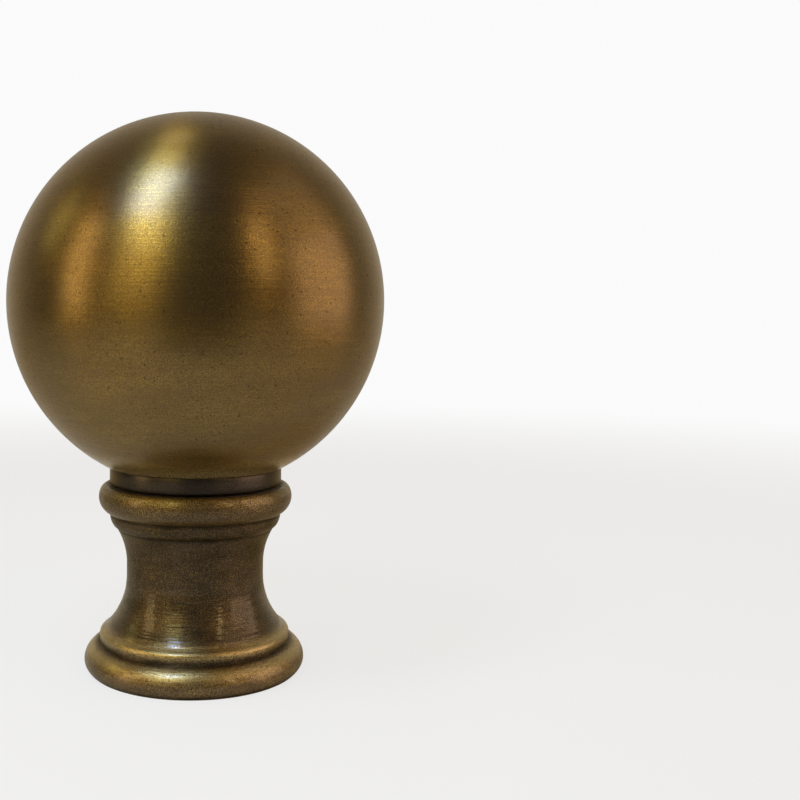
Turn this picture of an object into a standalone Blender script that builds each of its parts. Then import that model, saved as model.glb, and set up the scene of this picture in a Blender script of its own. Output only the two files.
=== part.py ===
# Lamp shade finial: a turned brass ball on a dark neck collar and a moulded pedestal.
# Metres, +Z up. The origin is on the turning axis, in the plane that the foot stands on.
# The pedestal's radii grow outwards from its waist and its heights stack up from the foot,
# so each member of the moulding keeps its own size when another one changes.

import math

import bpy

# Ball and collar. The overhang is how far the ball's flat seat stands out past the collar.

BALL_DIAMETER = 0.03175
BALL_OVERHANG = 0.00028
COLLAR_HEIGHT = 0.001
COLLAR_EDGE = 0.0001
COLLAR_SETBACK = 0.00028
SEAM_GAP = 0.0003

# Pedestal, from the foot up. A projection is how far a member stands out from the one beside it,
# a crown is its rounding above the widest point, and a skirt or under side is the rounding below.
# A sweep is how much of a quarter ellipse the rounding runs through.

FOOT_UNDER_HEIGHT = 0.00085
FOOT_UNDER_REACH = 0.00045
FOOT_UNDER_SWEEP = math.radians(43)
FOOT_CROWN_HEIGHT = 0.0015
FOOT_CROWN_SWEEP = math.radians(74)
FOOT_PROJECTION = 0.00127
ROUND_SIDE_HEIGHT = 0.00053
ROUND_CROWN_HEIGHT = 0.0003
ROUND_CROWN_SWEEP = math.radians(75)
ROUND_PROJECTION = 0.0005
FLARE_HEIGHT = 0.00453
FLARE_SPREAD = 0.00172
WAIST_DIAMETER = 0.0116
WAIST_HEIGHT = 0.00097
HOLLOW_HEIGHT = 0.0031
HOLLOW_SPREAD = 0.00086
OVOLO_HEIGHT = 0.00124
OVOLO_SWEEP = math.radians(75)
OVOLO_PROJECTION = 0.00059
BEAD_SKIRT_HEIGHT = 0.0014
BEAD_SKIRT_SWEEP = math.radians(68)
BEAD_CROWN_HEIGHT = 0.001
BEAD_CROWN_REACH = 0.00062
BEAD_CROWN_SWEEP = math.radians(90)
BEAD_PROJECTION = 0.00094
NICK_DEPTH = 0.00008

# Tapped hole in the foot, plain at the screw's outside diameter. The roof is the metal above it.

SCREW_DIAMETER = 0.00635
SCREW_CLEARANCE = 0.00005
HOLE_ROOF = 0.0028
HOLE_MOUTH_CHAMFER = 0.0004
DRILL_POINT_ANGLE = math.radians(118)

# Finishes: colour and roughness

BALL_FINISH = ((0.33, 0.22, 0.075), 0.34)
COLLAR_FINISH = ((0.13, 0.098, 0.07), 0.45)
PEDESTAL_FINISH = ((0.27, 0.18, 0.07), 0.38)

# How finely the round shapes are faceted

TURN_STEPS = 56
BALL_STEPS = 28
MOULDING_STEPS = 5
HOLLOW_STEPS = 7
SHARP_ANGLE = math.radians(32)
MERGE_DISTANCE = 0.00001

# Radii and heights that follow from the sizes above

WAIST_RADIUS = WAIST_DIAMETER / 2
OVOLO_END_RADIUS = WAIST_RADIUS + HOLLOW_SPREAD
OVOLO_RADIUS = OVOLO_END_RADIUS + OVOLO_PROJECTION
BEAD_RADIUS = OVOLO_RADIUS + BEAD_PROJECTION
FLARE_RADIUS = WAIST_RADIUS + FLARE_SPREAD
ROUND_RADIUS = FLARE_RADIUS + ROUND_PROJECTION
FOOT_RADIUS = ROUND_RADIUS + FOOT_PROJECTION
HOLE_RADIUS = SCREW_DIAMETER / 2 + SCREW_CLEARANCE

FOOT_WIDEST_Z = FOOT_UNDER_HEIGHT
FOOT_TOP_Z = FOOT_WIDEST_Z + FOOT_CROWN_HEIGHT
ROUND_WIDEST_Z = FOOT_TOP_Z + ROUND_SIDE_HEIGHT
FLARE_END_Z = ROUND_WIDEST_Z + ROUND_CROWN_HEIGHT
WAIST_LOW_Z = FLARE_END_Z + FLARE_HEIGHT
WAIST_HIGH_Z = WAIST_LOW_Z + WAIST_HEIGHT
OVOLO_END_Z = WAIST_HIGH_Z + HOLLOW_HEIGHT
BEAD_END_Z = OVOLO_END_Z + OVOLO_HEIGHT
BEAD_WIDEST_Z = BEAD_END_Z + BEAD_SKIRT_HEIGHT
PEDESTAL_TOP_Z = BEAD_WIDEST_Z + BEAD_CROWN_HEIGHT

COLLAR_RADIUS = BEAD_RADIUS - BEAD_CROWN_REACH - COLLAR_SETBACK
COLLAR_LOW_Z = PEDESTAL_TOP_Z + SEAM_GAP
COLLAR_HIGH_Z = COLLAR_LOW_Z + COLLAR_HEIGHT

BALL_RADIUS = BALL_DIAMETER / 2
BALL_SEAT_RADIUS = COLLAR_RADIUS + BALL_OVERHANG
BALL_SEAT_Z = COLLAR_HIGH_Z + SEAM_GAP
BALL_CENTRE_Z = BALL_SEAT_Z + math.sqrt(BALL_RADIUS ** 2 - BALL_SEAT_RADIUS ** 2)


# Profile curves. A profile is a list of (radius, height) points that runs from top to bottom.

def rounding(start, end, start_angle, end_angle):
    """Convex stretch of an upright ellipse from start to end, with its widest point at angle 0."""
    half_width = (end[0] - start[0]) / (math.cos(end_angle) - math.cos(start_angle))
    half_height = (end[1] - start[1]) / (math.sin(end_angle) - math.sin(start_angle))
    centre_radius = start[0] - half_width * math.cos(start_angle)
    centre_z = start[1] - half_height * math.sin(start_angle)
    points = []
    for step in range(MOULDING_STEPS + 1):
        angle = start_angle + (end_angle - start_angle) * step / MOULDING_STEPS
        points.append((centre_radius + half_width * math.cos(angle), centre_z + half_height * math.sin(angle)))
    return points


def crown(start, widest, sweep):
    """Upper rounding of a moulding, out and down to its widest point."""
    return rounding(start, widest, sweep, 0.0)


def skirt(widest, end, sweep):
    """Lower rounding of a moulding, in and down from its widest point."""
    return rounding(widest, end, 0.0, -sweep)


def hollow(waist, end):
    """Concave arc from the waist, where it is upright, to a wider end above or below."""
    rise = end[1] - waist[1]
    spread = end[0] - waist[0]
    arc_radius = (rise ** 2 + spread ** 2) / (2 * spread)
    sweep = math.asin(rise / arc_radius)
    points = []
    for step in range(HOLLOW_STEPS + 1):
        angle = sweep * step / HOLLOW_STEPS
        radius = waist[0] + arc_radius * (1 - math.cos(angle))
        points.append((radius, waist[1] + arc_radius * math.sin(angle)))
    return points


def top_bead():
    """Bead under the collar, from the flat top to the nick over the ovolo."""
    widest = (BEAD_RADIUS, BEAD_WIDEST_Z)
    upper = crown((BEAD_RADIUS - BEAD_CROWN_REACH, PEDESTAL_TOP_Z), widest, BEAD_CROWN_SWEEP)
    lower = skirt(widest, (OVOLO_RADIUS - NICK_DEPTH, BEAD_END_Z), BEAD_SKIRT_SWEEP)
    return upper + lower[1:]


def ovolo():
    """Small quarter round between the bead and the hollow, down to the nick under it."""
    return skirt((OVOLO_RADIUS, BEAD_END_Z), (OVOLO_END_RADIUS - NICK_DEPTH, OVOLO_END_Z), OVOLO_SWEEP)


def shank():
    """Hollow above the waist, the upright waist, and the flare below it."""
    above = hollow((WAIST_RADIUS, WAIST_HIGH_Z), (OVOLO_END_RADIUS, OVOLO_END_Z))
    below = hollow((WAIST_RADIUS, WAIST_LOW_Z), (FLARE_RADIUS, FLARE_END_Z))
    return above[::-1] + below


def small_round():
    """Small round at the end of the flare, with its upright side."""
    widest = (ROUND_RADIUS, ROUND_WIDEST_Z)
    return crown((FLARE_RADIUS, FLARE_END_Z), widest, ROUND_CROWN_SWEEP) + [(ROUND_RADIUS, FOOT_TOP_Z)]


def foot():
    """Wide foot, from the nick under the small round to the face that it stands on."""
    widest = (FOOT_RADIUS, FOOT_WIDEST_Z)
    upper = crown((ROUND_RADIUS - NICK_DEPTH, FOOT_TOP_Z), widest, FOOT_CROWN_SWEEP)
    lower = skirt(widest, (FOOT_RADIUS - FOOT_UNDER_REACH, 0.0), FOOT_UNDER_SWEEP)
    return upper + lower[1:]


def tapped_hole():
    """From the mouth in the underside up to the drill point on the axis."""
    drill_point_z = PEDESTAL_TOP_Z - HOLE_ROOF
    wall_end_z = drill_point_z - HOLE_RADIUS / math.tan(DRILL_POINT_ANGLE / 2)
    return [
        (HOLE_RADIUS + HOLE_MOUTH_CHAMFER, 0.0),
        (HOLE_RADIUS, HOLE_MOUTH_CHAMFER),
        (HOLE_RADIUS, wall_end_z),
        (0.0, drill_point_z),
    ]


def pedestal_profile():
    """Once round the section, from the middle of the top to the drill point."""
    centre = [(0.0, PEDESTAL_TOP_Z)]
    return centre + top_bead() + ovolo() + shank() + small_round()[1:] + foot() + tapped_hole()


def collar_profile():
    """Plain turned collar with its sharp corners broken."""
    return [
        (0.0, COLLAR_HIGH_Z),
        (COLLAR_RADIUS - COLLAR_EDGE, COLLAR_HIGH_Z),
        (COLLAR_RADIUS, COLLAR_HIGH_Z - COLLAR_EDGE),
        (COLLAR_RADIUS, COLLAR_LOW_Z + COLLAR_EDGE),
        (COLLAR_RADIUS - COLLAR_EDGE, COLLAR_LOW_Z),
        (0.0, COLLAR_LOW_Z),
    ]


def ball_profile():
    """Sphere cut off flat below, where it seats on the collar."""
    top_angle = math.pi / 2
    seat_angle = -math.acos(BALL_SEAT_RADIUS / BALL_RADIUS)
    points = [(0.0, BALL_CENTRE_Z + BALL_RADIUS)]
    for step in range(1, BALL_STEPS + 1):
        angle = top_angle + (seat_angle - top_angle) * step / BALL_STEPS
        points.append((BALL_RADIUS * math.cos(angle), BALL_CENTRE_Z + BALL_RADIUS * math.sin(angle)))
    points.append((0.0, BALL_SEAT_Z))
    return points


# Scene

def clear_scene():
    for old in list(bpy.data.objects):
        bpy.data.objects.remove(old, do_unlink=True)


def new_collection(name):
    collection = bpy.data.collections.new(name)
    bpy.context.scene.collection.children.link(collection)
    return collection


def brass(name, finish):
    """Metallic finish of one piece."""
    colour, roughness = finish
    material = bpy.data.materials.new(name)
    material.use_nodes = True
    shader = material.node_tree.nodes["Principled BSDF"]
    shader.inputs["Base Color"].default_value = (*colour, 1.0)
    shader.inputs["Metallic"].default_value = 1.0
    shader.inputs["Roughness"].default_value = roughness
    material.diffuse_color = (*colour, 1.0)
    return material


def turned(name, profile, material, collection):
    """Solid of revolution about the Z axis, from a profile in the XZ plane."""
    outline = bpy.data.meshes.new(name + "_profile")
    points = [(radius, 0.0, height) for radius, height in profile]
    edges = [(index, index + 1) for index in range(len(points) - 1)]
    outline.from_pydata(points, edges, [])
    blank = bpy.data.objects.new(name + "_blank", outline)
    collection.objects.link(blank)

    screw = blank.modifiers.new("Turn", "SCREW")
    screw.axis = "Z"
    screw.angle = math.radians(360)
    screw.steps = TURN_STEPS
    screw.render_steps = TURN_STEPS
    screw.use_merge_vertices = True
    screw.merge_threshold = MERGE_DISTANCE

    turned_blank = blank.evaluated_get(bpy.context.evaluated_depsgraph_get())
    solid = bpy.data.meshes.new_from_object(turned_blank)
    bpy.data.objects.remove(blank, do_unlink=True)
    bpy.data.meshes.remove(outline)

    solid.name = name
    solid.shade_smooth()
    solid.set_sharp_from_angle(angle=SHARP_ANGLE)
    solid.materials.clear()
    solid.materials.append(material)
    piece = bpy.data.objects.new(name, solid)
    collection.objects.link(piece)
    return piece


def build():
    clear_scene()
    finial = new_collection("lamp_shade_finial")
    pieces = [
        turned("ball", ball_profile(), brass("antique_brass_satin", BALL_FINISH), finial),
        turned("neck_collar", collar_profile(), brass("antique_brass_dark", COLLAR_FINISH), finial),
        turned("pedestal", pedestal_profile(), brass("antique_brass_relieved", PEDESTAL_FINISH), finial),
    ]
    axis = bpy.data.objects.new("turning_axis", None)
    finial.objects.link(axis)
    for piece in pieces:
        piece.parent = axis


build()
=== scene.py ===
# %% [markdown]
# # A ball finial in antique brass
#
# The thing on the bench is a finial, the turned knob that screws down onto a lamp shade. It has
# three pieces: a large satin ball, a short dark collar, and a small moulded pedestal with a tapped
# hole in its foot. The construction model fixes where each piece is and how big it is. This lesson
# gives the three pieces their fine turned shapes and their finish: a brown-gold patina that was
# brushed while the work spun, left dark in the hollows and rubbed back to gold on the rims.
#
# First the construction model is loaded and measured. Nothing in it is moved.

# %% Load the construction model
import math

import bpy
from mathutils import Matrix, Vector


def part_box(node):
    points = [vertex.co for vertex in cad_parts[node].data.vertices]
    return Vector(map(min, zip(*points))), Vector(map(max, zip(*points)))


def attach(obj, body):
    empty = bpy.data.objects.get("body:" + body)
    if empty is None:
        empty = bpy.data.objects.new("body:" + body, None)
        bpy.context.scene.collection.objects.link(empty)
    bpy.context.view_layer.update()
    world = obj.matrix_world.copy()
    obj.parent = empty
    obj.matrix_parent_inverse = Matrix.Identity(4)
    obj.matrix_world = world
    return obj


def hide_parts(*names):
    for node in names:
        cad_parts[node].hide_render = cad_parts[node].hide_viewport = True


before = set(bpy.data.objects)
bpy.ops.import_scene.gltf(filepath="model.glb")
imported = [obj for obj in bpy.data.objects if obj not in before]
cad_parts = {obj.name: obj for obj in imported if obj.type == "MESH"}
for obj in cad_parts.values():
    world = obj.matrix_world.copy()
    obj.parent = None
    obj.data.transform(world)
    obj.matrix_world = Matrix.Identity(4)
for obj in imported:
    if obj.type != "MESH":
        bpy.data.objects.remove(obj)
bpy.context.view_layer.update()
print("nodes:", ", ".join(sorted(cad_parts)))

# %% [markdown]
# All the sizes below hang on the construction model: the foot's radius, the collar's radius, and
# the tops of the pedestal and the ball. Only the members of the moulding are named here again,
# because a bounding box does not know them.

# %% Sizes that come from the construction model
MM = 0.001
BALL_RADIUS = 15.875 * MM

pedestal_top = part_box("pedestal")[1]
foot_radius = pedestal_top.x
collar_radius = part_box("neck_collar")[1].x
ball_centre_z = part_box("ball")[1].z - BALL_RADIUS
print("foot radius in mm:", round(foot_radius / MM, 3))
print("height of the ball's centre in mm:", round(ball_centre_z / MM, 3))

# %% [markdown]
# ## The camera
#
# The reference view was taken from about 90 mm away, so near things look clearly larger than far
# ones. The camera stands almost level with the middle of the ball. It turns a little to the right,
# and the rest of the framing, with the finial in the left half of the picture, comes from the shift.
# A longer lens from further away would be easier to light, but the foot's edge would curve too little.

# %% Camera
PICTURE_WIDTH = 800
SENSOR_WIDTH = 36.0
FOCAL_PIXELS = 1050.4
BALL_CENTRE_PIXEL = 197.1
HORIZON_PIXEL = 319.2
CAMERA_DISTANCE = 89.93 * MM
EYE_BELOW_BALL_CENTRE = 1.203 * MM
PAN_RIGHT = math.radians(3.5)
TILT_DOWN = math.radians(0.212)
ROLL = math.radians(0.45)
NEAREST = 5 * MM
FARTHEST = 100.0


def make_camera():
    lens = bpy.data.cameras.new("camera")
    lens.sensor_width = SENSOR_WIDTH
    lens.lens = FOCAL_PIXELS * SENSOR_WIDTH / PICTURE_WIDTH
    axis_pixel = BALL_CENTRE_PIXEL + FOCAL_PIXELS * math.tan(PAN_RIGHT)
    lens.shift_x = (PICTURE_WIDTH / 2 - axis_pixel) / PICTURE_WIDTH
    lens.shift_y = (HORIZON_PIXEL - PICTURE_WIDTH / 2) / PICTURE_WIDTH
    lens.clip_start = NEAREST
    lens.clip_end = FARTHEST
    camera = bpy.data.objects.new("camera", lens)
    bpy.context.scene.collection.objects.link(camera)
    eye = Matrix.Translation((0, -CAMERA_DISTANCE, ball_centre_z - EYE_BELOW_BALL_CENTRE))
    pan = Matrix.Rotation(-PAN_RIGHT, 4, "Z")
    tilt = Matrix.Rotation(math.radians(90) - TILT_DOWN, 4, "X")
    camera.matrix_world = eye @ pan @ tilt @ Matrix.Rotation(ROLL, 4, "Z")
    bpy.context.scene.camera = camera
    return camera


camera = make_camera()
print("lens in mm:", round(camera.data.lens, 2))
print("shift:", round(camera.data.shift_x, 3), round(camera.data.shift_y, 3))

# %% [markdown]
# ## Building node trees in a script
#
# Both the shapes and the finishes below are node trees. Wiring them by hand takes many lines, so
# one helper adds a node, sets its properties, and fills its inputs either with plain values or with
# links from other nodes. Inputs are given by their name, or by their number where names repeat.

# %% Helpers for node trees
def add_node(tree, kind, inputs=None, **settings):
    node = tree.nodes.new(kind)
    for name, value in settings.items():
        setattr(node, name, value)
    for key, value in (inputs or {}).items():
        if isinstance(value, bpy.types.NodeSocket):
            tree.links.new(value, node.inputs[key])
        else:
            node.inputs[key].default_value = value
    return node


def calculate(tree, operation, *values, clamp=False):
    node = add_node(tree, "ShaderNodeMath", dict(enumerate(values)), operation=operation, use_clamp=clamp)
    return node.outputs[0]


def blended(tree, share, first, second):
    """Colour between two colours, which are inputs 6 and 7 of a Mix node."""
    return add_node(tree, "ShaderNodeMix", {0: share, 6: first, 7: second}, data_type="RGBA").outputs[2]


def new_tree(name, kind, inputs, outputs):
    """Empty node tree with named sockets, and its input and output nodes."""
    tree = bpy.data.node_groups.new(name, kind)
    for label, socket_type, value in inputs:
        socket = tree.interface.new_socket(label, in_out="INPUT", socket_type=socket_type)
        if value is not None:
            socket.default_value = value
    for label, socket_type in outputs:
        tree.interface.new_socket(label, in_out="OUTPUT", socket_type=socket_type)
    return tree, tree.nodes.new("NodeGroupInput").outputs, tree.nodes.new("NodeGroupOutput")


print("helpers:", add_node.__name__, calculate.__name__, blended.__name__, new_tree.__name__)

# %% [markdown]
# ## The turned outlines
#
# A turner thinks in outlines: a bead, a nick, a hollow, a flare. Each member here is an arc or a
# stretch of an ellipse, and an outline is a list of (radius, height) points that runs down the
# outer side. The points stand about 0.06 mm apart, so that the curves stay round in a close view.
# Flat stretches bend nowhere, so their points may stand much wider.

# %% Arcs and straight stretches
POINT_SPACING = 0.06 * MM
FLAT_SPACING = 0.5 * MM
SAME_POINT = 0.002 * MM


def steps_between(start, end, spacing=POINT_SPACING):
    return max(2, math.ceil(math.dist(start, end) / spacing))


def rounding(start, end, start_angle, end_angle):
    """Convex stretch of an upright ellipse, with its widest point at angle 0."""
    first = math.radians(start_angle)
    last = math.radians(end_angle)
    half_width = (end[0] - start[0]) / (math.cos(last) - math.cos(first))
    half_height = (end[1] - start[1]) / (math.sin(last) - math.sin(first))
    centre = (start[0] - half_width * math.cos(first), start[1] - half_height * math.sin(first))
    count = steps_between(start, end)
    angles = [first + (last - first) * step / count for step in range(count + 1)]
    return [(centre[0] + half_width * math.cos(a), centre[1] + half_height * math.sin(a)) for a in angles]


def hollow(waist, end):
    """Concave arc from the upright waist to a wider end."""
    rise = end[1] - waist[1]
    spread = end[0] - waist[0]
    arc_radius = (rise ** 2 + spread ** 2) / (2 * spread)
    sweep = math.asin(rise / arc_radius)
    count = steps_between(waist, end)
    angles = [sweep * step / count for step in range(count + 1)]
    return [(waist[0] + arc_radius * (1 - math.cos(a)), waist[1] + arc_radius * math.sin(a)) for a in angles]


def straight(start, end, spacing=FLAT_SPACING):
    count = steps_between(start, end, spacing)
    return [(start[0] + (end[0] - start[0]) * s / count, start[1] + (end[1] - start[1]) * s / count)
            for s in range(count + 1)]


def joined(*stretches):
    """One outline from stretches that meet end to end."""
    points = []
    for stretch in stretches:
        for point in stretch:
            if not points or math.dist(points[-1], point) > SAME_POINT:
                points.append(point)
    return points


print("steps in a 1 mm stretch:", steps_between((0, 0), (0, MM)))

# %% [markdown]
# A tool leaves crisp corners, but brushing and rubbing take the edge off them. A Bevel would need
# to know each corner's own width. Here every point near a corner moves towards the middle of its
# neighbours, again and again, and less so the further away it is. That also softens the bottom of
# a nick, where stain has filled the corner.

# %% Corners worn soft
def eased(points, corners, reach, rounds):
    for _ in range(rounds):
        before = points
        points = list(before)
        for i in range(1, len(before) - 1):
            distance = min(math.dist(before[i], corner) for corner in corners)
            if distance < reach:
                share = 0.5 * (1 - distance / reach)
                middle = [(before[i - 1][k] + before[i + 1][k]) / 2 for k in (0, 1)]
                points[i] = tuple(before[i][k] + (middle[k] - before[i][k]) * share for k in (0, 1))
    return points


square = joined(straight((0, 0), (MM, 0), POINT_SPACING), straight((MM, 0), (MM, MM), POINT_SPACING))
corner = eased(square, [(MM, 0)], 0.4 * MM, 8)[square.index((MM, 0))]
print("a square corner, eased 8 times, moves in by mm:", round(math.dist(corner, (MM, 0)) / MM, 3))

# %% [markdown]
# The ball sits down on the collar, so its flat seat is a little lower than in the construction
# model, which keeps a gap between any two pieces. The collar closes that gap from below in the same
# way, and leaves the thin dark line over the bead that the real one has.

# %% Outlines of the ball and the collar
SEAT_Z = 16.86 * MM
COLLAR_UNDER_Z = 15.53 * MM
EDGE_ROUNDING = 0.08 * MM
CENTRE_RADIUS = 0.6 * MM
BALL_STEPS = 150


def ball_outline():
    seat_radius = math.sqrt(BALL_RADIUS ** 2 - (ball_centre_z - SEAT_Z) ** 2)
    seat_angle = -math.acos(seat_radius / BALL_RADIUS)
    points = [(0.0, ball_centre_z + BALL_RADIUS)]
    for step in range(1, BALL_STEPS + 1):
        angle = math.pi / 2 + (seat_angle - math.pi / 2) * step / BALL_STEPS
        points.append((BALL_RADIUS * math.cos(angle), ball_centre_z + BALL_RADIUS * math.sin(angle)))
    return points + straight(points[-1], (CENTRE_RADIUS, SEAT_Z))[1:] + [(0.0, SEAT_Z)]


def collar_outline():
    inner = collar_radius - EDGE_ROUNDING
    top = rounding((inner, SEAT_Z), (collar_radius, SEAT_Z - EDGE_ROUNDING), 90, 0)
    under = rounding((collar_radius, COLLAR_UNDER_Z + EDGE_ROUNDING), (inner, COLLAR_UNDER_Z), 0, -90)
    return joined(
        [(0.0, SEAT_Z)],
        straight((CENTRE_RADIUS, SEAT_Z), top[0]),
        top,
        straight(top[-1], under[0]),
        under,
        straight(under[-1], (CENTRE_RADIUS, COLLAR_UNDER_Z)),
        [(0.0, COLLAR_UNDER_Z)],
    )


print("points:", len(ball_outline()), "on the ball and", len(collar_outline()), "on the collar")

# %% [markdown]
# The pedestal's outline starts in the middle of its top, turns over the bead, runs through the
# nick, the ovolo, the hollow, the waist and the flare to the small round and the foot, and comes
# back up inside the hole. Radii are worked out from the foot inwards, so they follow the frame.
# The angles say how far round its ellipse each member runs before the next one cuts it off.

# %% Sizes of the pedestal's members
ROUND_RADIUS = foot_radius - 1.27 * MM
FLARE_RADIUS = ROUND_RADIUS - 0.42 * MM
WAIST_RADIUS = FLARE_RADIUS - 1.8 * MM
OVOLO_END_RADIUS = WAIST_RADIUS + 0.86 * MM
OVOLO_RADIUS = OVOLO_END_RADIUS + 0.59 * MM
BEAD_RADIUS = OVOLO_RADIUS + 0.94 * MM
BEAD_CREST_RADIUS = BEAD_RADIUS - 0.62 * MM
TOP_EDGE_RADIUS = BEAD_CREST_RADIUS - 0.28 * MM
UNDER_EDGE_RADIUS = foot_radius - 0.45 * MM
NICK = 0.08 * MM

FOOT_WIDEST_Z = 0.85 * MM
FOOT_TOP_Z = 2.35 * MM
ROUND_WIDEST_Z = 2.96 * MM
FLARE_END_Z = 3.38 * MM
WAIST_LOW_Z = 7.71 * MM
WAIST_HIGH_Z = 8.68 * MM
OVOLO_END_Z = 11.78 * MM
BEAD_END_Z = 13.02 * MM
BEAD_WIDEST_Z = 14.42 * MM
BEAD_CREST_Z = pedestal_top.z
TOP_CENTRE_Z = COLLAR_UNDER_Z - 0.17 * MM

TOP_EDGE_ANGLE = 150
BEAD_END_ANGLE = -68
OVOLO_END_ANGLE = -75
ROUND_START_ANGLE = 75
FOOT_START_ANGLE = 74
FOOT_END_ANGLE = -43

HOLE_RADIUS = 3.225 * MM
HOLE_MOUTH = 0.4 * MM
HOLE_WALL_END_Z = 10.68 * MM
DRILL_POINT_Z = 12.62 * MM
DRILL_TIP_RADIUS = 0.3 * MM
DRILL_TIP_HEIGHT = 0.18 * MM
THREAD_SPACING = 0.08 * MM

NICK_EASE = 0.4 * MM
NICK_EASE_ROUNDS = 8
FLARE_EASE = 0.7 * MM
FLARE_EASE_ROUNDS = 14
print("waist across in mm:", round(2 * WAIST_RADIUS / MM, 2))


# %% Outline of the pedestal
def pedestal_outline():
    top_edge = (TOP_EDGE_RADIUS, TOP_CENTRE_Z)
    crest = (BEAD_CREST_RADIUS, BEAD_CREST_Z)
    bead_widest = (BEAD_RADIUS, BEAD_WIDEST_Z)
    waist_high = (WAIST_RADIUS, WAIST_HIGH_Z)
    waist_low = (WAIST_RADIUS, WAIST_LOW_Z)
    flare_end = (FLARE_RADIUS, FLARE_END_Z)
    round_widest = (ROUND_RADIUS, ROUND_WIDEST_Z)
    foot_widest = (foot_radius, FOOT_WIDEST_Z)
    under_edge = (UNDER_EDGE_RADIUS, 0.0)
    hole_mouth = (HOLE_RADIUS + HOLE_MOUTH, 0.0)
    hole_edge = (HOLE_RADIUS, HOLE_MOUTH)
    hole_end = (HOLE_RADIUS, HOLE_WALL_END_Z)
    turned = joined(
        [(0.0, TOP_CENTRE_Z)],
        straight((CENTRE_RADIUS, TOP_CENTRE_Z), top_edge),
        rounding(top_edge, crest, TOP_EDGE_ANGLE, 90),
        rounding(crest, bead_widest, 90, 0),
        rounding(bead_widest, (OVOLO_RADIUS - NICK, BEAD_END_Z), 0, BEAD_END_ANGLE),
        rounding((OVOLO_RADIUS, BEAD_END_Z), (OVOLO_END_RADIUS - NICK, OVOLO_END_Z), 0, OVOLO_END_ANGLE),
        hollow(waist_high, (OVOLO_END_RADIUS, OVOLO_END_Z))[::-1],
        straight(waist_high, waist_low, POINT_SPACING),
        hollow(waist_low, flare_end),
        rounding(flare_end, round_widest, ROUND_START_ANGLE, 0),
        straight(round_widest, (ROUND_RADIUS, FOOT_TOP_Z), POINT_SPACING),
        rounding((ROUND_RADIUS - NICK, FOOT_TOP_Z), foot_widest, FOOT_START_ANGLE, 0),
        rounding(foot_widest, under_edge, 0, FOOT_END_ANGLE),
        straight(under_edge, hole_mouth),
        straight(hole_mouth, hole_edge),
        straight(hole_edge, hole_end, THREAD_SPACING),
        straight(hole_end, (DRILL_TIP_RADIUS, DRILL_POINT_Z - DRILL_TIP_HEIGHT)),
        [(0.0, DRILL_POINT_Z)],
    )
    nicks = [(OVOLO_RADIUS, BEAD_END_Z), (OVOLO_END_RADIUS, OVOLO_END_Z), (ROUND_RADIUS, FOOT_TOP_Z)]
    turned = eased(turned, nicks, NICK_EASE, NICK_EASE_ROUNDS)
    return eased(turned, [flare_end], FLARE_EASE, FLARE_EASE_ROUNDS)


print("points on the pedestal:", len(pedestal_outline()))

# %% [markdown]
# Each point of an outline also carries what the finish needs to know. Patina gathers in the nicks
# and the hollow, with a little on the bead. Wear shows on the crests that a hand or a cloth reaches
# first. Just over the collar the same mask holds painted fill light: the ball is painted paler and
# duller there, to lift the shade that gathers on it next to the collar. Tool marks are strongest
# where the flare runs out. The thread only exists inside the hole. All four are numbers from 0 to 1.
# They could be painted by hand, but a fade with the distance from a named place follows any change
# of the shape.

# %% Helpers for the masks
def near(point, places, reach):
    """1 at the nearest of the places, fading away over the reach."""
    distance = min(math.dist(point, place) for place in places)
    return math.exp(-(distance / reach) ** 2)


def smooth_ramp(value, low, high):
    share = min(1.0, max(0.0, (value - low) / (high - low)))
    return share * share * (3 - 2 * share)


print("half way up a ramp:", smooth_ramp(0.5, 0, 1))

# %% Where patina and wear are
NICKS = [
    (collar_radius, COLLAR_UNDER_Z - 0.1 * MM),
    (OVOLO_RADIUS, BEAD_END_Z),
    (OVOLO_END_RADIUS, OVOLO_END_Z),
    (ROUND_RADIUS, FOOT_TOP_Z + 0.05 * MM),
    # The last place is the lower edge of the foot, not a nick; the mask darkens the foot along it.
    (foot_radius - 0.25 * MM, 0.0),
]
BEAD_CREST = (BEAD_RADIUS - 0.2 * MM, BEAD_WIDEST_Z + 0.7 * MM)
ROUND_CREST = (ROUND_RADIUS - 0.15 * MM, ROUND_WIDEST_Z + 0.25 * MM)
FOOT_CREST = (foot_radius - 0.45 * MM, FOOT_WIDEST_Z + 1.1 * MM)

NICK_STAIN = 0.75
NICK_REACH = 0.42 * MM
HOLLOW_STAIN = 0.55
HOLLOW_START_Z = 4.0 * MM
HOLLOW_FADE_Z = BEAD_END_Z - 0.3 * MM
HOLLOW_END_Z = BEAD_END_Z + 0.5 * MM
BEAD_STAIN = 0.32
CREST_REACH = 0.5 * MM
BEAD_WEAR = 0.35
# How far up the ball the painted fill light over the collar reaches.
SEAT_FILL_HEIGHT = 2.2 * MM


def patina_at(point):
    height = point[1]
    below = smooth_ramp(height, FLARE_END_Z, HOLLOW_START_Z)
    above = 1 - smooth_ramp(height, HOLLOW_FADE_Z, HOLLOW_END_Z)
    on_bead = BEAD_STAIN * (1 - above) if height < COLLAR_UNDER_Z else 0.0
    return max(NICK_STAIN * near(point, NICKS, NICK_REACH), HOLLOW_STAIN * below * above, on_bead)


def wear_and_fill_at(point):
    height = point[1]
    # Just over the seat this is painted fill light, not wear: it pales the shaded ball next to the collar.
    painted_fill_over_seat = 1 - smooth_ramp(height, SEAT_Z, SEAT_Z + SEAT_FILL_HEIGHT) if height >= SEAT_Z else 0.0
    rubbed_and_filled = near(point, [ROUND_CREST, FOOT_CREST], CREST_REACH)
    return max(rubbed_and_filled, BEAD_WEAR * near(point, [BEAD_CREST], CREST_REACH), painted_fill_over_seat)


print("patina at the first nick:", round(patina_at(NICKS[0]), 2))

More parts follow.
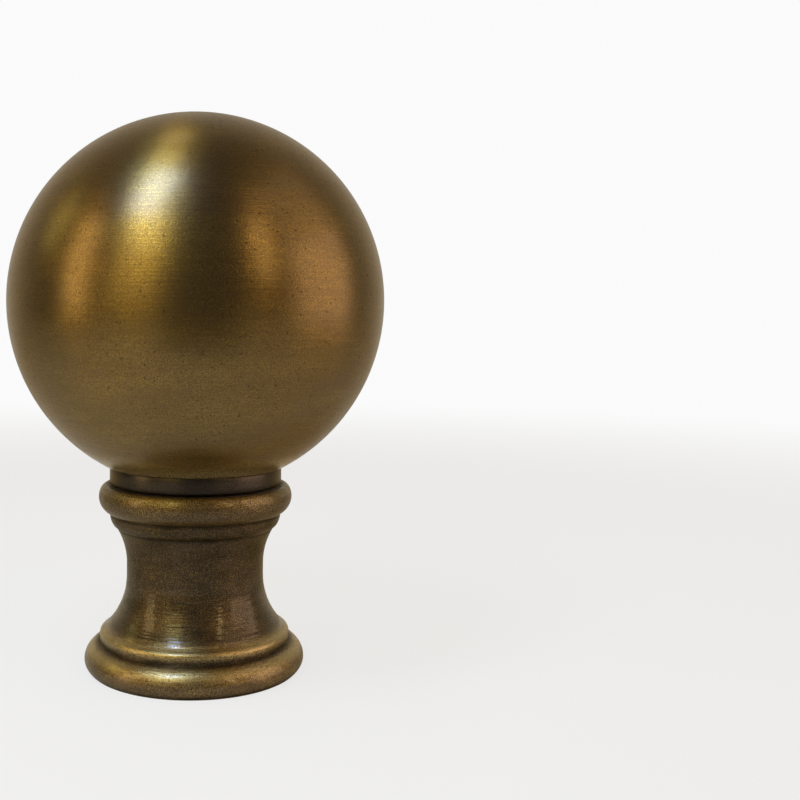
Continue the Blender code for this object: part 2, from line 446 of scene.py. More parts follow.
# %% Where tool marks and thread are
MARKS_FULL_Z = 4.8 * MM
MARKS_END_Z = 9.4 * MM
MARKS_START_FADE = 0.3 * MM
THREAD_FULL_Z = 1.3 * MM
THREAD_FADE_Z = 9.2 * MM
THREAD_END_Z = 10.1 * MM
SLACK = 0.01 * MM


def marks_at(point):
    radius, height = point
    if radius < HOLE_RADIUS + HOLE_MOUTH:
        return 0.0
    below = 1 - smooth_ramp(height, MARKS_FULL_Z, MARKS_END_Z)
    above = smooth_ramp(height, FLARE_END_Z, FLARE_END_Z + MARKS_START_FADE)
    return below * above


def thread_at(point):
    radius, height = point
    if radius > HOLE_RADIUS + SLACK or height > HOLE_WALL_END_Z + SLACK:
        return 0.0
    starts = smooth_ramp(height, HOLE_MOUTH, THREAD_FULL_Z)
    return starts * (1 - smooth_ramp(height, THREAD_FADE_Z, THREAD_END_Z))


MASKS = {"patina": patina_at, "wear_and_fill": wear_and_fill_at, "tool_marks": marks_at, "thread": thread_at}
print("masks:", ", ".join(MASKS))

# %% [markdown]
# ## The lathe
#
# A Screw modifier would turn an outline too, and the construction model uses one. Here the turning
# is a Geometry Nodes tree, because it can do more while the work spins: it cuts uneven ring marks
# that start and stop as a real tool's do, it winds the screw thread up the hole, and it stores how
# far along the outline each point lies, which the brushed finish follows. The tree takes a flat
# grid with one row for each outline point and wraps it round the axis.
#
# The ring marks are a noise that changes slowly round the work and quickly along the outline. The
# thread is a triangle wave that climbs one pitch for each turn, with its tips cut flat.

# %% Ring marks and thread
RING_STREAKS = 1.6
THREAD_STEEPNESS = 2.5
THREAD_FLAT = 0.125


def wound_place(tree, around, streaks, turns):
    """Place in a noise that follows the turning: slow round the axis and quick along the outline."""
    spread = add_node(tree, "ShaderNodeVectorMath", {0: around, "Scale": streaks}, operation="SCALE")
    stacked = add_node(tree, "ShaderNodeCombineXYZ", {"Z": turns})
    both = {0: spread.outputs[0], 1: stacked.outputs[0]}
    return add_node(tree, "ShaderNodeVectorMath", both, operation="ADD").outputs[0]


def ring_marks(tree, given, around, along, strength):
    """How far the tool cut in, in metres: rings that fade in and out round the work."""
    place = wound_place(tree, around, RING_STREAKS, calculate(tree, "DIVIDE", along, given["Mark Pitch"]))
    noise = add_node(tree, "ShaderNodeTexNoise", {"Vector": place, "W": given["Seed"], "Scale": 1.0,
                                                  "Detail": 1.0, "Roughness": 0.5}, noise_dimensions="4D")
    swing = calculate(tree, "MULTIPLY_ADD", noise.outputs["Fac"], 2.0, -1.0)
    return calculate(tree, "MULTIPLY", calculate(tree, "MULTIPLY", swing, strength), given["Mark Depth"])


def thread_ridge(tree, given, angle, height, strength):
    """How far the thread stands in from the wall of the hole, in metres."""
    turns = calculate(tree, "SUBTRACT", calculate(tree, "DIVIDE", height, given["Thread Pitch"]),
                      calculate(tree, "DIVIDE", angle, 2 * math.pi))
    wave = calculate(tree, "PINGPONG", turns, 0.5)
    ridge = calculate(tree, "MULTIPLY_ADD", wave, THREAD_STEEPNESS, -THREAD_FLAT, clamp=True)
    return calculate(tree, "MULTIPLY", calculate(tree, "MULTIPLY", ridge, strength), given["Thread Depth"])


print("the ring marks run about", round(360 / (2 * math.pi * RING_STREAKS)), "degrees round the work")

# %% [markdown]
# The lathe itself reads the outline row by row. Sample Index fetches the place and the masks of
# the outline point that belongs to each row of the grid. The seam and the two ends on the axis are
# merged afterwards, so the piece is one closed skin, and its faces are flipped to point outwards.

# %% The lathe as a Geometry Nodes tree
MERGE_DISTANCE = 0.0005 * MM
LATHE_INPUTS = [
    ("Outline", "NodeSocketGeometry", None),
    ("Turning Steps", "NodeSocketInt", 160),
    ("Mark Depth", "NodeSocketFloat", 0.0),
    ("Mark Pitch", "NodeSocketFloat", 0.15 * MM),
    ("Thread Pitch", "NodeSocketFloat", 1.0 * MM),
    ("Thread Depth", "NodeSocketFloat", 0.0),
    ("Seed", "NodeSocketFloat", 0.0),
    ("Finish", "NodeSocketMaterial", None),
]


def make_lathe():
    work = [("Work", "NodeSocketGeometry")]
    tree, given, result = new_tree("lathe", "GeometryNodeTree", LATHE_INPUTS, work)

    outline = given["Outline"]
    size = add_node(tree, "GeometryNodeAttributeDomainSize", {"Geometry": outline}, component="MESH")
    rows = size.outputs["Point Count"]
    last_row = calculate(tree, "SUBTRACT", rows, 1.0)
    columns = calculate(tree, "ADD", given["Turning Steps"], 1.0)
    grid = add_node(tree, "GeometryNodeMeshGrid", {"Size X": 2 * math.pi, "Size Y": last_row,
                                                   "Vertices X": columns, "Vertices Y": rows})
    position = add_node(tree, "GeometryNodeInputPosition").outputs[0]
    flat = add_node(tree, "ShaderNodeSeparateXYZ", {0: position})
    angle = flat.outputs["X"]
    row = calculate(tree, "ROUND", calculate(tree, "MULTIPLY_ADD", last_row, 0.5, flat.outputs["Y"]))

    def sampled(value, data_type):
        source = {"Geometry": outline, "Value": value, "Index": row}
        node = add_node(tree, "GeometryNodeSampleIndex", source, data_type=data_type, domain="POINT")
        return node.outputs["Value"]

    def mask(name):
        named = add_node(tree, "GeometryNodeInputNamedAttribute", {"Name": name}, data_type="FLOAT")
        return sampled(named.outputs["Attribute"], "FLOAT")

    radius_height = add_node(tree, "ShaderNodeSeparateXYZ", {0: sampled(position, "FLOAT_VECTOR")})
    cosine = calculate(tree, "COSINE", angle)
    sine = calculate(tree, "SINE", angle)
    around = add_node(tree, "ShaderNodeCombineXYZ", {"X": cosine, "Y": sine}).outputs[0]
    along = mask("along")

    cut = ring_marks(tree, given, around, along, mask("tool_marks"))
    ridge = thread_ridge(tree, given, angle, radius_height.outputs["Z"], mask("thread"))
    radius = calculate(tree, "SUBTRACT", calculate(tree, "ADD", radius_height.outputs["X"], cut), ridge)
    turned = add_node(tree, "ShaderNodeCombineXYZ", {
        "X": calculate(tree, "MULTIPLY", radius, cosine),
        "Y": calculate(tree, "MULTIPLY", radius, sine),
        "Z": radius_height.outputs["Z"],
    })

    work = grid.outputs["Mesh"]
    stored = [("around", around, "FLOAT_VECTOR"), ("along", along, "FLOAT")]
    stored += [(name, mask(name), "FLOAT") for name in ("patina", "wear_and_fill", "tool_marks")]
    for name, value, data_type in stored:
        kept = {"Geometry": work, "Name": name, "Value": value}
        work = add_node(tree, "GeometryNodeStoreNamedAttribute", kept, data_type=data_type,
                        domain="POINT").outputs["Geometry"]
    for kind, inputs in (
        ("GeometryNodeSetPosition", {"Position": turned.outputs[0]}),
        ("GeometryNodeMergeByDistance", {"Distance": MERGE_DISTANCE}),
        ("GeometryNodeFlipFaces", {}),
        ("GeometryNodeSetShadeSmooth", {"Shade Smooth": True}),
        ("GeometryNodeRealizeInstances", {}),
        ("GeometryNodeSetMaterial", {"Material": given["Finish"]}),
    ):
        work = add_node(tree, kind, {0: work, **inputs}).outputs[0]
    tree.links.new(work, result.inputs["Work"])
    return tree


lathe = make_lathe()
print("nodes in the lathe:", len(lathe.nodes))

# %% [markdown]
# The outline goes in as a mesh of loose edges with its masks as attributes. Evaluating the object
# and copying the result gives a plain mesh, and the modifier goes away with the blank that had it.

# %% Turn an outline into a finished piece
SHARP_ANGLE = math.radians(35)


def outline_object(name, outline):
    mesh = bpy.data.meshes.new(name + "_outline")
    edges = [(i, i + 1) for i in range(len(outline) - 1)]
    mesh.from_pydata([(radius, 0.0, height) for radius, height in outline], edges, [])
    lengths = [0.0]
    for before, after in zip(outline, outline[1:]):
        lengths.append(lengths[-1] + math.dist(before, after))
    mesh.attributes.new("along", "FLOAT", "POINT").data.foreach_set("value", lengths)
    for mask_name, mask_at in MASKS.items():
        values = [mask_at(point) for point in outline]
        mesh.attributes.new(mask_name, "FLOAT", "POINT").data.foreach_set("value", values)
    blank = bpy.data.objects.new(name + "_blank", mesh)
    bpy.context.scene.collection.objects.link(blank)
    return blank


def turn_piece(name, outline, finish, **settings):
    blank = outline_object(name, outline)
    modifier = blank.modifiers.new("Lathe", "NODES")
    modifier.node_group = lathe
    sockets = {item.name: item.identifier for item in lathe.interface.items_tree if item.in_out == "INPUT"}
    modifier[sockets["Finish"]] = finish
    for label, value in settings.items():
        modifier[sockets[label.replace("_", " ").title()]] = value
    evaluated = blank.evaluated_get(bpy.context.evaluated_depsgraph_get())
    mesh = bpy.data.meshes.new_from_object(evaluated)
    mesh.name = name
    bpy.data.objects.remove(blank, do_unlink=True)
    mesh.set_sharp_from_angle(angle=SHARP_ANGLE)
    piece = bpy.data.objects.new(name, mesh)
    bpy.context.scene.collection.objects.link(piece)
    print(name, "has", len(mesh.polygons), "faces")
    return piece


print("edges sharper than", round(math.degrees(SHARP_ANGLE)), "degrees stay sharp")

# %% [markdown]
# ## The finish
#
# Antique brass is made in this order on the real thing. The turned piece is brushed while it spins,
# which leaves fine lines round the axis. A brown stain then darkens all of it. Last it is rubbed, so
# the rims come back to gold and the nicks stay nearly black, and a thin clear lacquer seals it. Each
# of those steps is a node group here, and the three pieces use the groups with their own values.
#
# The brushed lines come first. The lathe stored where each point is round the axis and along the
# outline. A noise that is stretched a lot one way and hardly the other turns into lines that
# follow the turning everywhere, also over the top of the ball, and it has no seam.

# %% Brushed lines
LINE_LOW = 0.25
LINE_HIGH = 0.75


def make_brushed_lines():
    tree, given, result = new_tree("brushed_lines", "ShaderNodeTree", [
        ("Around", "NodeSocketVector", None),
        ("Along", "NodeSocketFloat", 0.0),
        ("Pitch", "NodeSocketFloat", 0.1 * MM),
        ("Streaks", "NodeSocketFloat", 3.5),
    ], [("Lines", "NodeSocketFloat")])
    turns = calculate(tree, "DIVIDE", given["Along"], given["Pitch"])
    place = wound_place(tree, given["Around"], given["Streaks"], turns)
    noise = add_node(tree, "ShaderNodeTexNoise", {"Vector": place, "Scale": 1.0, "Detail": 2.0,
                                                  "Roughness": 0.6})
    lines = add_node(tree, "ShaderNodeMapRange", {"Value": noise.outputs["Fac"], "From Min": LINE_LOW,
                                                  "From Max": LINE_HIGH})
    tree.links.new(lines.outputs[0], result.inputs["Lines"])
    return tree


brushed_lines = make_brushed_lines()
print("made the node group", brushed_lines.name)

# %% [markdown]
# Small pits and specks cover cast brass. They could be modelled, but most are a tenth of a
# millimetre across. Cells of a Voronoi texture give one pit each, and a random number in each cell
# decides whether the pit is there, so that they never line up. Thick patina fills them in.

# %% Pits
SMALLEST_PIT = 0.4


def make_pits():
    tree, given, result = new_tree("pits", "ShaderNodeTree", [
        ("Place", "NodeSocketVector", None),
        ("Spacing", "NodeSocketFloat", 0.3 * MM),
        ("Share", "NodeSocketFloat", 0.3),
        ("Width", "NodeSocketFloat", 0.3),
        ("Filled", "NodeSocketFloat", 0.0),
    ], [("Pits", "NodeSocketFloat")])
    cells = add_node(tree, "ShaderNodeTexVoronoi", {
        "Vector": given["Place"], "Scale": calculate(tree, "DIVIDE", 1.0, given["Spacing"])})
    chance = add_node(tree, "ShaderNodeSeparateColor", {0: cells.outputs["Color"]})
    there = calculate(tree, "LESS_THAN", chance.outputs[0], given["Share"])
    size = calculate(tree, "ADD", chance.outputs[1], SMALLEST_PIT)
    width = calculate(tree, "MULTIPLY", size, given["Width"])
    slope = calculate(tree, "DIVIDE", cells.outputs["Distance"], width)
    bowl = calculate(tree, "SUBTRACT", 1.0, slope, clamp=True)
    unfilled = calculate(tree, "SUBTRACT", 1.0, given["Filled"], clamp=True)
    open_pits = calculate(tree, "MULTIPLY", there, unfilled)
    tree.links.new(calculate(tree, "MULTIPLY", bowl, open_pits), result.inputs["Pits"])
    return tree


pits = make_pits()
print("made the node group", pits.name)

# %% [markdown]
# The next group decides how much of the stain is left. Clouds a few millimetres wide, drawn out
# round the axis as the brush went, make it uneven. Lines and a fine grain break it up. Wear brings
# the gold back on the crests and, where it is strongest, bares the brass; on the ball just over the
# collar the same input is painted fill light, which pales the ball there. Patina keeps the nicks
# dark. The edges between them are ragged, because a rubbing cloth never stops on a clean line.
#
# The group also says how rough each place is and how much lacquer lies on it. Worn and tooled
# places are smoother. Thick patina is dry, and the tooled flare shines most.

# %% Values of the stain
CLOUD_STRETCH = (0.5, 0.5, 1.3)
CLOUD_GAIN = 1.6
CLOUD_SHIFT = -0.65
LINE_SHARE = 0.5
RUBBING_START = 0.25
PATINA_GAIN = 2.2
PATINA_FLOOR = 0.15
PIT_STAIN = 0.8
GRAIN_STAIN = 0.35
STAIN_ROUGHNESS = 0.15
RUBBED_ROUGHNESS = -0.04
TOOLED_ROUGHNESS = -0.15
WORN_ROUGHNESS = -0.1
TOOLED_LACQUER = 0.5
STAIN_LACQUER = -0.85
STAIN_INPUTS = [
    ("Place", "NodeSocketVector", None),
    ("Patina", "NodeSocketFloat", 0.0),
    ("Wear And Fill", "NodeSocketFloat", 0.0),
    ("Tooled", "NodeSocketFloat", 0.0),
    ("Grain", "NodeSocketFloat", 0.5),
    ("Grain Contrast", "NodeSocketFloat", 1.0),
    ("Pits", "NodeSocketFloat", 0.0),
    ("Lines", "NodeSocketFloat", 0.5),
    ("Cloud Size", "NodeSocketFloat", 3.0 * MM),
    ("Gold", "NodeSocketColor", (0.3, 0.2, 0.07, 1.0)),
    ("Brown", "NodeSocketColor", (0.2, 0.14, 0.06, 1.0)),
    ("Dark", "NodeSocketColor", (0.05, 0.04, 0.03, 1.0)),
    ("Bare", "NodeSocketColor", (0.5, 0.37, 0.15, 1.0)),
]
STAIN_OUTPUTS = [
    ("Colour", "NodeSocketColor"),
    ("Roughness", "NodeSocketFloat"),
    ("Lacquer", "NodeSocketFloat"),
]
print("inputs of the stain:", ", ".join(label for label, _, _ in STAIN_INPUTS))


# %% Stain and rubbing
def make_stain():
    tree, given, result = new_tree("stain", "ShaderNodeTree", STAIN_INPUTS, STAIN_OUTPUTS)
    patina, wear_and_fill, tooled = given["Patina"], given["Wear And Fill"], given["Tooled"]
    stretch = {0: given["Place"], 1: CLOUD_STRETCH}
    drawn_out = add_node(tree, "ShaderNodeVectorMath", stretch, operation="MULTIPLY").outputs[0]
    scale = calculate(tree, "DIVIDE", 1.0, given["Cloud Size"])
    clouds = add_node(tree, "ShaderNodeTexNoise", {"Vector": drawn_out, "Scale": scale, "Detail": 4.0,
                                                   "Roughness": 0.6}).outputs["Fac"]
    off_middle = calculate(tree, "SUBTRACT", given["Grain"], 0.5)
    speckle = calculate(tree, "MULTIPLY", off_middle, given["Grain Contrast"])

    uneven = calculate(tree, "MULTIPLY_ADD", clouds, CLOUD_GAIN, CLOUD_SHIFT)
    # The Wear input is rubbed crests and, on the ball just over the collar, painted fill light.
    rubbed_and_filled = calculate(tree, "ADD", uneven, wear_and_fill)
    rubbed_and_filled = calculate(tree, "MULTIPLY_ADD", given["Lines"], LINE_SHARE, rubbed_and_filled)
    rubbed_and_filled = calculate(tree, "SUBTRACT", rubbed_and_filled, RUBBING_START)
    rubbed_and_filled = calculate(tree, "ADD", rubbed_and_filled, speckle, clamp=True)

    thickness = calculate(tree, "MULTIPLY_ADD", clouds, PATINA_GAIN, PATINA_FLOOR)
    kept = calculate(tree, "MULTIPLY", patina, thickness)
    kept = calculate(tree, "MULTIPLY_ADD", given["Pits"], PIT_STAIN, kept)
    kept = calculate(tree, "MULTIPLY_ADD", speckle, -GRAIN_STAIN, kept, clamp=True)
    worn_and_filled = calculate(tree, "MULTIPLY", wear_and_fill, calculate(tree, "ADD", clouds, speckle), clamp=True)

    colour = blended(tree, rubbed_and_filled, given["Brown"], given["Gold"])
    colour = blended(tree, worn_and_filled, colour, given["Bare"])
    colour = blended(tree, kept, colour, given["Dark"])

    rough = calculate(tree, "MULTIPLY", rubbed_and_filled, RUBBED_ROUGHNESS)
    rough = calculate(tree, "MULTIPLY_ADD", kept, STAIN_ROUGHNESS, rough)
    rough = calculate(tree, "MULTIPLY_ADD", tooled, TOOLED_ROUGHNESS, rough)
    rough = calculate(tree, "MULTIPLY_ADD", wear_and_fill, WORN_ROUGHNESS, rough)
    sealed = calculate(tree, "MULTIPLY_ADD", tooled, TOOLED_LACQUER, 1.0)
    sealed = calculate(tree, "MULTIPLY_ADD", kept, STAIN_LACQUER, sealed)

    tree.links.new(colour, result.inputs["Colour"])
    tree.links.new(rough, result.inputs["Roughness"])
    tree.links.new(sealed, result.inputs["Lacquer"])
    return tree


stain = make_stain()
print("made the node group", stain.name)

# %% [markdown]
# One function then builds each finish from the groups. The numbers that are the same all over a
# piece, such as how much the brushing stretches its highlights and how rough the lacquer is, sit
# on the shader's own sockets. The tangent runs round the turning axis, as the brush did, so the
# highlights stretch up and down the ball. The edge colour keeps the rims brassy: without it, metal
# that is seen at a slant mirrors the pale room in grey.

# %% Helpers for the finishes
BRUSH_STRETCH = 0.7
BRUSH_TURN = 0.25
RELIEF_DEPTH = 0.01 * MM


def group(tree, node_tree, inputs):
    return add_node(tree, "ShaderNodeGroup", inputs, node_tree=node_tree).outputs


def stored_value(tree, name, output="Fac"):
    """A value that the lathe stored on the surface."""
    return add_node(tree, "ShaderNodeAttribute", attribute_name=name).outputs[output]


print("relief in mm:", round(RELIEF_DEPTH / MM, 3))


# %% Antique brass
def antique_brass(
    name,
    gold,
    brown,
    dark,
    bare=(0.5, 0.37, 0.16),
    edge=(0.75, 0.6, 0.36),
    fill_dulling=0.0,
    roughness=0.31,
    lacquer=0.8,
    lacquer_roughness=0.27,
    cloud_size=3.0 * MM,
    line_pitch=0.12 * MM,
    line_depth=0.7,
    grain_size=0.065 * MM,
    grain_depth=1.3,
    grain_contrast=3.4,
    pit_spacing=0.34 * MM,
    pit_share=0.3,
    pit_width=0.24,
    pit_depth=1.0,
):
    material = bpy.data.materials.new(name)
    material.use_nodes = True
    tree = material.node_tree
    shader = tree.nodes["Principled BSDF"]
    place = add_node(tree, "ShaderNodeTexCoord").outputs["Object"]
    patina = stored_value(tree, "patina")
    wear_and_fill = stored_value(tree, "wear_and_fill")

    lines = group(tree, brushed_lines, {
        "Around": stored_value(tree, "around", "Vector"), "Along": stored_value(tree, "along"),
        "Pitch": line_pitch})["Lines"]
    holes = group(tree, pits, {
        "Place": place, "Spacing": pit_spacing, "Share": pit_share, "Width": pit_width,
        "Filled": patina})["Pits"]
    grain = add_node(tree, "ShaderNodeTexNoise", {
        "Vector": place, "Scale": 1 / grain_size, "Detail": 2.0}).outputs["Fac"]
    tone = group(tree, stain, {
        "Place": place, "Patina": patina, "Wear And Fill": wear_and_fill, "Tooled": stored_value(tree, "tool_marks"),
        "Grain": grain, "Grain Contrast": grain_contrast, "Pits": holes, "Lines": lines,
        "Cloud Size": cloud_size, "Gold": (*gold, 1.0), "Brown": (*brown, 1.0),
        "Dark": (*dark, 1.0), "Bare": (*bare, 1.0)})

    height = calculate(tree, "MULTIPLY", lines, line_depth)
    height = calculate(tree, "MULTIPLY_ADD", grain, grain_depth, height)
    height = calculate(tree, "MULTIPLY_ADD", holes, -pit_depth, height)
    relief = add_node(tree, "ShaderNodeBump", {"Height": height, "Distance": RELIEF_DEPTH, "Strength": 1.0})
    tangent = add_node(tree, "ShaderNodeTangent", direction_type="RADIAL", axis="Z")

    tree.links.new(tone["Colour"], shader.inputs["Base Color"])
    tree.links.new(calculate(tree, "ADD", tone["Roughness"], roughness), shader.inputs["Roughness"])
    tree.links.new(calculate(tree, "MULTIPLY", tone["Lacquer"], lacquer), shader.inputs["Coat Weight"])
    tree.links.new(relief.outputs[0], shader.inputs["Normal"])
    tree.links.new(tangent.outputs[0], shader.inputs["Tangent"])
    shader.inputs["Metallic"].default_value = 1.0
    # Where the mask is painted fill light the metal is made less metallic, so it takes in more light and
    # looks paler.
    if fill_dulling:
        tree.links.new(calculate(tree, "MULTIPLY_ADD", wear_and_fill, -fill_dulling, 1.0), shader.inputs["Metallic"])
    shader.inputs["Anisotropic"].default_value = BRUSH_STRETCH
    shader.inputs["Anisotropic Rotation"].default_value = BRUSH_TURN
    shader.inputs["Coat Roughness"].default_value = lacquer_roughness
    shader.inputs["Specular Tint"].default_value = (*edge, 1.0)
    return material


print("made the recipe", antique_brass.__name__)

# %% [markdown]
# The three pieces wear the same recipe with their own values. The ball is an even brown gold under
# satin lacquer. Just over the collar it is painted paler and made less metallic, a painted fill
# light that lifts the shade beside the collar. The collar was never rubbed: it stays a dark purple
# grey with few pits. The pedestal has smaller clouds, deeper grain and pits, and a glossier
# lacquer, which gives the sharp glints in the flare.

# %% The three finishes
ball_brass = antique_brass(
    "ball_brass",
    gold=(0.27, 0.167, 0.027),
    brown=(0.152, 0.089, 0.017),
    dark=(0.04, 0.026, 0.008),
    # Less metal where the painted fill light lies just over the collar.
    fill_dulling=0.5,
    line_depth=1.0,
    grain_size=0.085 * MM,
    grain_depth=1.2,
    grain_contrast=4.0,
    pit_share=0.25,
    pit_width=0.36,
)
collar_brass = antique_brass(
    "collar_brass",
    gold=(0.085, 0.062, 0.044),
    brown=(0.044, 0.034, 0.026),
    dark=(0.018, 0.014, 0.01),
    lacquer=0.4,
    pit_share=0.1,
)
pedestal_brass = antique_brass(
    "pedestal_brass",
    gold=(0.38, 0.26, 0.09),
    brown=(0.13, 0.08, 0.035),
    dark=(0.03, 0.022, 0.014),
    bare=(0.62, 0.48, 0.21),
    edge=(0.85, 0.74, 0.52),
    roughness=0.4,
    lacquer=0.7,
    lacquer_roughness=0.15,
    cloud_size=1.4 * MM,
    grain_size=0.075 * MM,
    grain_depth=2.6,
    grain_contrast=3.8,
    pit_spacing=0.27 * MM,
    pit_share=0.4,
    pit_width=0.33,
    pit_depth=1.6,
)
print("finishes:", ball_brass.name, collar_brass.name, pedestal_brass.name)

# %% [markdown]
# ## The three pieces
#
# Each piece comes off the same lathe. The ball gets the most steps round the axis, because it is the
# widest. Only the pedestal has tool marks and a thread: the marks are a few hundredths of a
# millimetre deep, and the thread has 27 turns to the inch, as the screw of a lamp harp has.

# %% Turn the ball, the collar and the pedestal
INCH = 25.4 * MM
THREAD_PITCH = 0.9407 * MM

ball = turn_piece("turned_ball", ball_outline(), ball_brass, turning_steps=192)
collar = turn_piece("turned_collar", collar_outline(), collar_brass, turning_steps=144)
pedestal = turn_piece(
    "turned_pedestal",
    pedestal_outline(),
    pedestal_brass,
    turning_steps=160,
    mark_depth=0.045 * MM,
    mark_pitch=0.095 * MM,
    thread_pitch=THREAD_PITCH,
    thread_depth=0.56 * MM,
    seed=4.0,
)
print("turns of the thread to the inch:", round(INCH / THREAD_PITCH, 2))

# %% [markdown]
# A finial has nothing that moves, so all three pieces ride on the one body. Each takes the place of
# its plain node.

# %% Hang the pieces on the construction model
for piece, node, slot in (
    (ball, "ball", "ball"),
    (collar, "neck_collar", "neck_collar"),
    (pedestal, "pedestal", "pedestal"),
):
    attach(piece, "root")
    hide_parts(node)
    print(piece.name, "stands for", node)

# %% [markdown]
# ## Floor, world and light
#
# The finial stands on a small pale table top that fades into the white surroundings, so no horizon
# shows. To the camera the sheet is paler than what the metal mirrors of it, as an overexposed
# backdrop is, and the soft shadow still grounds the foot. A fully glowing sheet would be whiter, but
# the shadow would be lost.

# %% Floor
FLOOR_RADIUS = 0.3
FLOOR_SIDES = 96
FLOOR_GREY = 0.85
FLOOR_ROUGHNESS = 0.9
FADE_START = 0.1
FADE_END = 0.28
FLOOR_GLOW = 0.93
GLOW_SHARE = 0.8


def make_floor():
    bpy.ops.mesh.primitive_circle_add(vertices=FLOOR_SIDES, radius=FLOOR_RADIUS, fill_type="NGON")
    floor = bpy.context.object
    floor.name = "floor"
    paper = bpy.data.materials.new("pale_floor")
    paper.use_nodes = True
    tree = paper.node_tree
    shader = tree.nodes["Principled BSDF"]
    shader.inputs["Base Color"].default_value = (FLOOR_GREY, FLOOR_GREY, FLOOR_GREY, 1.0)
    shader.inputs["Roughness"].default_value = FLOOR_ROUGHNESS
    shader.inputs["Specular IOR Level"].default_value = 0.0
    glow = add_node(tree, "ShaderNodeEmission", {"Strength": FLOOR_GLOW})
    seen = add_node(tree, "ShaderNodeLightPath").outputs["Is Camera Ray"]
    share = calculate(tree, "MULTIPLY", seen, GLOW_SHARE)
    lit = add_node(tree, "ShaderNodeMixShader", {0: share, 1: shader.outputs[0], 2: glow.outputs[0]})
    place = add_node(tree, "ShaderNodeTexCoord").outputs["Object"]
    distance = add_node(tree, "ShaderNodeVectorMath", {0: place}, operation="LENGTH").outputs["Value"]
    fade = add_node(tree, "ShaderNodeMapRange", {
        "Value": distance, "From Min": FADE_START, "From Max": FADE_END}, interpolation_type="SMOOTHSTEP")
    clear = add_node(tree, "ShaderNodeBsdfTransparent")
    faded = add_node(tree, "ShaderNodeMixShader", {
        0: fade.outputs[0], 1: lit.outputs[0], 2: clear.outputs[0]})
    tree.links.new(faded.outputs[0], tree.nodes["Material Output"].inputs["Surface"])
    floor.data.materials.append(paper)
    return floor


floor = make_floor()
print("floor radius in mm:", round(FLOOR_RADIUS / MM))

# %% [markdown]
# Metal has no colour of its own to show, only what it mirrors, so the room matters as much as the
# stain. A white room would wash the brass out. The camera sees white, and the metal mirrors a room
# that is warm and dim, brighter behind the finial than in front of it. That gives the pale outer
# rims and the dark middle of the ball.

# %% World
BACK_LEVEL = 0.52
FRONT_LEVEL = 0.14
BRIGHTENS_FROM = 0.1
BRIGHTENS_TO = 0.9
WHITE_LEVEL = 0.96
ROOM_COLOUR = (1.0, 0.92, 0.78, 1.0)
WHITE = (1.0, 1.0, 1.0, 1.0)


def make_world():
    world = bpy.data.worlds.new("studio")
    world.use_nodes = True
    tree = world.node_tree
    background = tree.nodes["Background"]
    direction = add_node(tree, "ShaderNodeTexCoord").outputs["Generated"]
    way = add_node(tree, "ShaderNodeSeparateXYZ", {0: direction})
    room = add_node(tree, "ShaderNodeMapRange", {
        "Value": way.outputs["Y"], "From Min": BRIGHTENS_FROM, "From Max": BRIGHTENS_TO,
        "To Min": FRONT_LEVEL, "To Max": BACK_LEVEL}, interpolation_type="SMOOTHSTEP")
    seen = add_node(tree, "ShaderNodeLightPath").outputs["Is Camera Ray"]
    level = add_node(tree, "ShaderNodeMix", {0: seen, 2: room.outputs[0], 3: WHITE_LEVEL}, data_type="FLOAT")
    tree.links.new(level.outputs[0], background.inputs["Strength"])
    tree.links.new(blended(tree, seen, ROOM_COLOUR, WHITE), background.inputs["Color"])
    bpy.context.scene.world = world
    return world


world = make_world()
print("world:", world.name)

# %% [markdown]
# Every bright patch on the ball is the mirror image of a light, so each softbox is placed by the
# direction in which its patch mirrors it: the white core and the gold streak below it, the orange
# patches on the left and the right, and two faint glows near the top. The same lights also have to
# strike the pedestal in the right places. That only works when the main light and the window stand
# close, about 0.1 m from the ball, because the ball and the foot then see them in other directions.

# %% Softboxes
MAIN_DISTANCE = 94 * MM
WINDOW_DISTANCE = 105 * MM
PANEL_DISTANCE = 600 * MM


def softbox(name, azimuth, elevation, width, height, radiance, distance=PANEL_DISTANCE):
    """Area light that faces the ball. Azimuth 0 is the camera's side, 90 is to its right. Width and
    height are in degrees as the ball sees them, and the radiance is a colour and a strength."""
    turn = math.radians(azimuth)
    lift = math.radians(elevation)
    away = Vector((math.sin(turn) * math.cos(lift), -math.cos(turn) * math.cos(lift), math.sin(lift)))
    data = bpy.data.lights.new(name, "AREA")
    data.shape = "RECTANGLE"
    data.size = 2 * distance * math.tan(math.radians(width / 2))
    data.size_y = 2 * distance * math.tan(math.radians(height / 2))
    strength = max(radiance)
    data.color = [part / strength for part in radiance]
    data.energy = strength * math.pi * data.size * data.size_y
    light = bpy.data.objects.new(name, data)
    light.location = Vector((0, 0, ball_centre_z)) + away * distance
    light.rotation_mode = "QUATERNION"
    light.rotation_quaternion = away.to_track_quat("Z", "Y")
    bpy.context.scene.collection.objects.link(light)
    return light


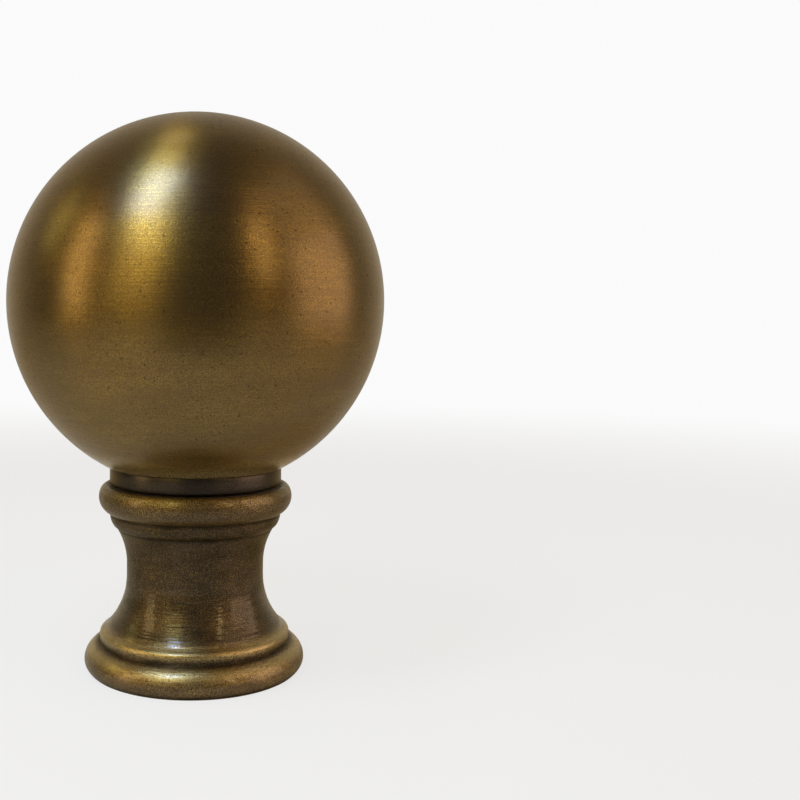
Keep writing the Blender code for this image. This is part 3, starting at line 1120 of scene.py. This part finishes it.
softbox("main_softbox", -38.5, 57, 14.5, 27, (7.4, 10.6, 16.5), MAIN_DISTANCE)
softbox("window_top", -31.5, 34.5, 19, 23, (3.45, 3.1, 1.15), WINDOW_DISTANCE)
softbox("window_low", -35, 11, 26, 24, (1.45, 1.1, 0.35), WINDOW_DISTANCE)
softbox("left_panel", -74, 17, 14, 42, (3.1, 2.3, 1.05))
softbox("far_left_panel", -104, 29, 13, 20, (1.4, 1.25, 0.4))
softbox("right_strip", 41, 28, 4.5, 32, (6.7, 4.7, 2.1))
softbox("right_panel", 80, 7, 42, 46, (1.6, 1.17, 0.86))
softbox("upper_right_panel", 78, 46, 44, 30, (0.54, 0.42, 0.31))
softbox("top_panel", -105, 79, 9, 9, (3.4, 2.9, 1.2))
softbox("top_back_panel", -161, 69, 9, 9, (3.2, 2.8, 1.2))

# %% [markdown]
# From 90 mm away the camera and whoever holds it fill a good part of what the finial mirrors. A dark
# grey card stands behind the lens in their place and leans forward at its foot, so that the collar
# and the bead mirror it too. The camera itself does not see it.

# %% Dark card round the lens
CARD_HALF_WIDTH = 25 * MM
CARD_TOP_Z = 72 * MM
CARD_BEHIND_LENS = 5 * MM
CARD_FOOT_FORWARD = 30 * MM
FELT_GREY = (0.2, 0.18, 0.17, 1.0)


def make_lens_card():
    card = bpy.data.meshes.new("lens_card")
    top_y = -CAMERA_DISTANCE - CARD_BEHIND_LENS
    foot_y = top_y + CARD_FOOT_FORWARD
    corners = [(-CARD_HALF_WIDTH, foot_y, 0.0), (CARD_HALF_WIDTH, foot_y, 0.0),
               (CARD_HALF_WIDTH, top_y, CARD_TOP_Z), (-CARD_HALF_WIDTH, top_y, CARD_TOP_Z)]
    card.from_pydata(corners, [], [(0, 1, 2, 3)])
    felt = bpy.data.materials.new("grey_felt")
    felt.use_nodes = True
    shader = felt.node_tree.nodes["Principled BSDF"]
    shader.inputs["Base Color"].default_value = FELT_GREY
    shader.inputs["Roughness"].default_value = 1.0
    card.materials.append(felt)
    lens_card = bpy.data.objects.new("lens_card", card)
    bpy.context.scene.collection.objects.link(lens_card)
    lens_card.visible_camera = False
    return lens_card


lens_card = make_lens_card()
bpy.context.scene.view_settings.view_transform = "Standard"
print("card:", lens_card.name, "and view transform:", bpy.context.scene.view_settings.view_transform)
